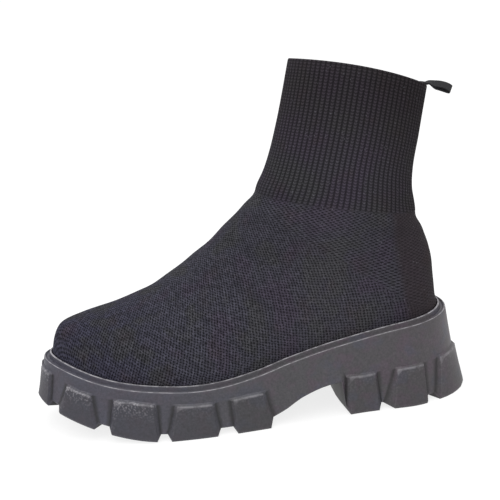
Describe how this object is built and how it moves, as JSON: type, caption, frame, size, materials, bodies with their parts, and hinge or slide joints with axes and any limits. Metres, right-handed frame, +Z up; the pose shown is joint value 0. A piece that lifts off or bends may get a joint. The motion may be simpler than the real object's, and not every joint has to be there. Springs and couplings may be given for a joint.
{
  "type": "sock boot",
  "caption": "Left ankle-high sock boot: hollow knitted upper with a ribbed shaft and a back pull loop on a chunky moulded platform sole with side lugs and a block heel.",
  "frame": {"origin": "middle of the heel's tread, on the floor", "axes": "+X towards the toe, +Y towards the outer side of the left foot, +Z up"},
  "size_m": [0.2841, 0.1107, 0.2249],
  "materials": {
    "moulded_sole": "dark grey moulded rubber, fine grain, low sheen",
    "knit": "near-black knit, matt",
    "lining": "black lining, matt",
    "ribbon": "black woven ribbon"
  },
  "bodies": {
    "root": {"sole_unit": "moulded_sole", "knit_upper": "knit", "insole": "lining", "pull_loop": "ribbon"}
  },
  "joints": []
}
